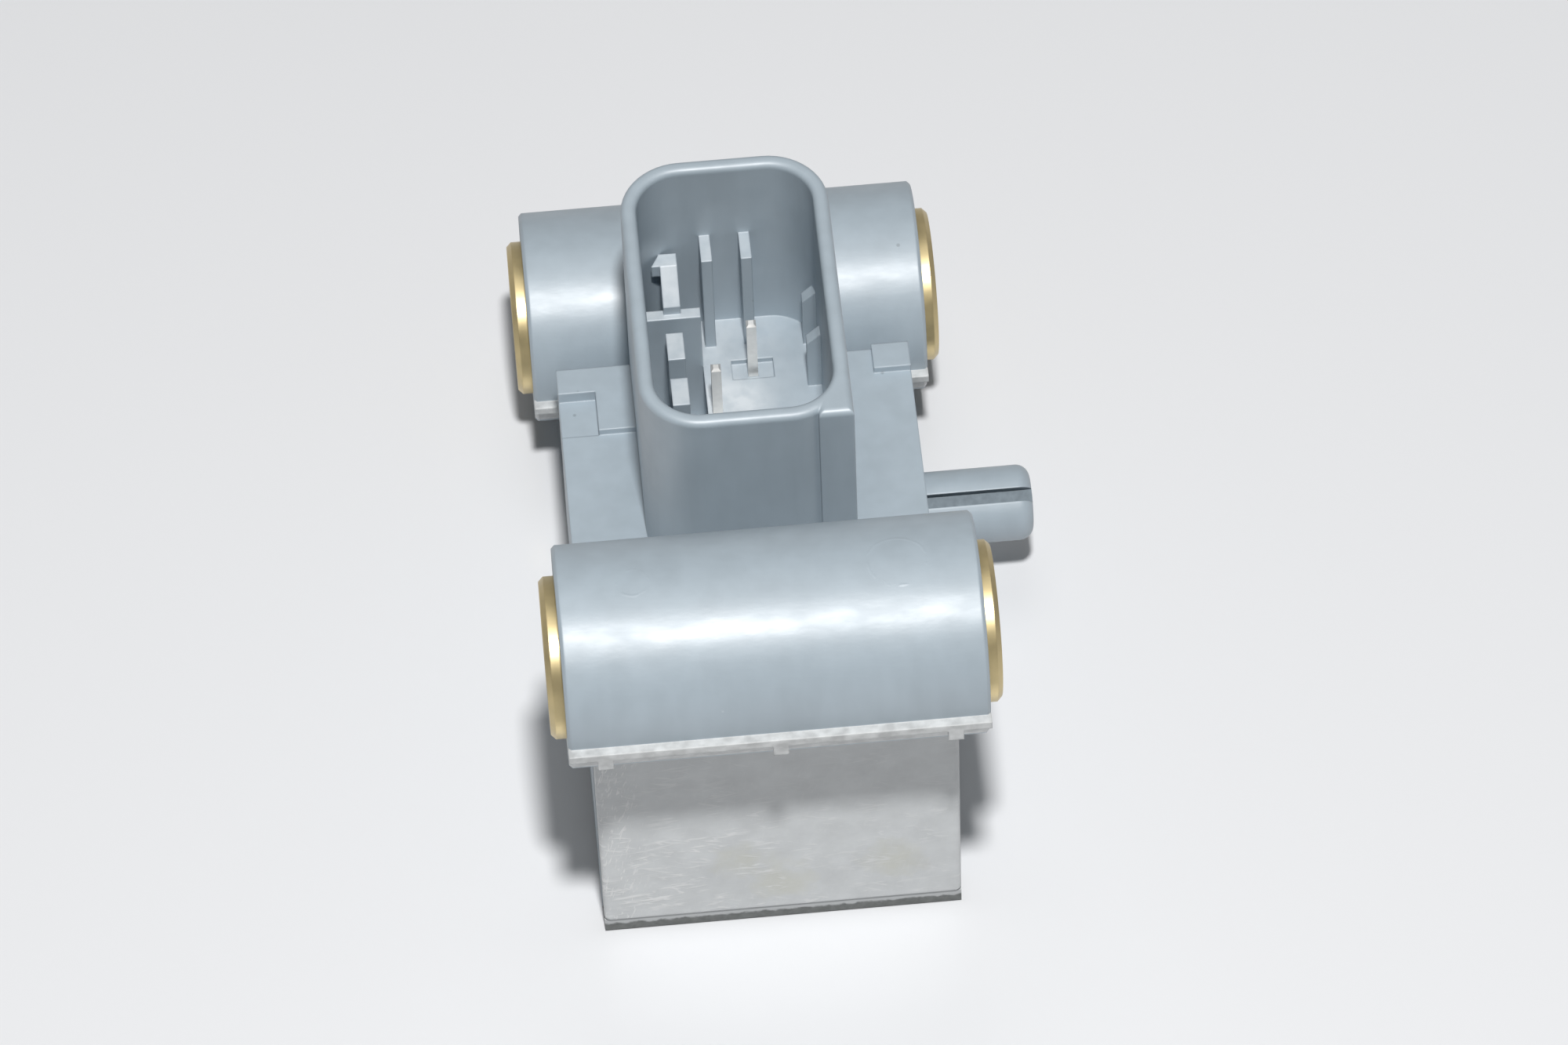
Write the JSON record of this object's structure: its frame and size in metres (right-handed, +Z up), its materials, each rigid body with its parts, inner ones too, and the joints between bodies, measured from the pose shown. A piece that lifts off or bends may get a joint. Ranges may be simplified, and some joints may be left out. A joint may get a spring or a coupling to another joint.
{
  "type": "impact sensor",
  "caption": "Moulded crash sensor of a car with brass-sleeved mounting barrels, an upright oval connector shroud and a grooved locating peg.",
  "frame": {"origin": "centre of the box's base, on the surface it stands on", "axes": "+X to the right along both barrels, towards the locating peg; +Y from the cover to the rear barrel; +Z up, the way the connector opens"},
  "size_m": [0.0325, 0.0555, 0.0333],
  "materials": {
    "housing_plastic": "moulded, satin",
    "cover_plastic": "moulded, matt",
    "seal": "matt",
    "sleeve_brass": "turned",
    "tinned_metal": "tinned",
    "board": "lacquered",
    "chip_plastic": "matt",
    "capacitor_ceramic": "matt"
  },
  "bodies": {
    "root": {"housing": "housing_plastic", "front_cover": "cover_plastic", "cover_seal": "seal", "front_sleeve": "sleeve_brass", "rear_sleeve": "sleeve_brass", "terminal_left": "tinned_metal", "terminal_right": "tinned_metal", "circuit_board": "board", "accelerometer_chip": "chip_plastic", "interface_chip": "chip_plastic", "suppressor_diode": "chip_plastic", "capacitor_1": "capacitor_ceramic", "capacitor_2": "capacitor_ceramic", "capacitor_3": "capacitor_ceramic", "resistor_1": "chip_plastic", "resistor_2": "chip_plastic", "resistor_3": "chip_plastic", "solder_left": "tinned_metal", "solder_right": "tinned_metal"}
  },
  "joints": []
}
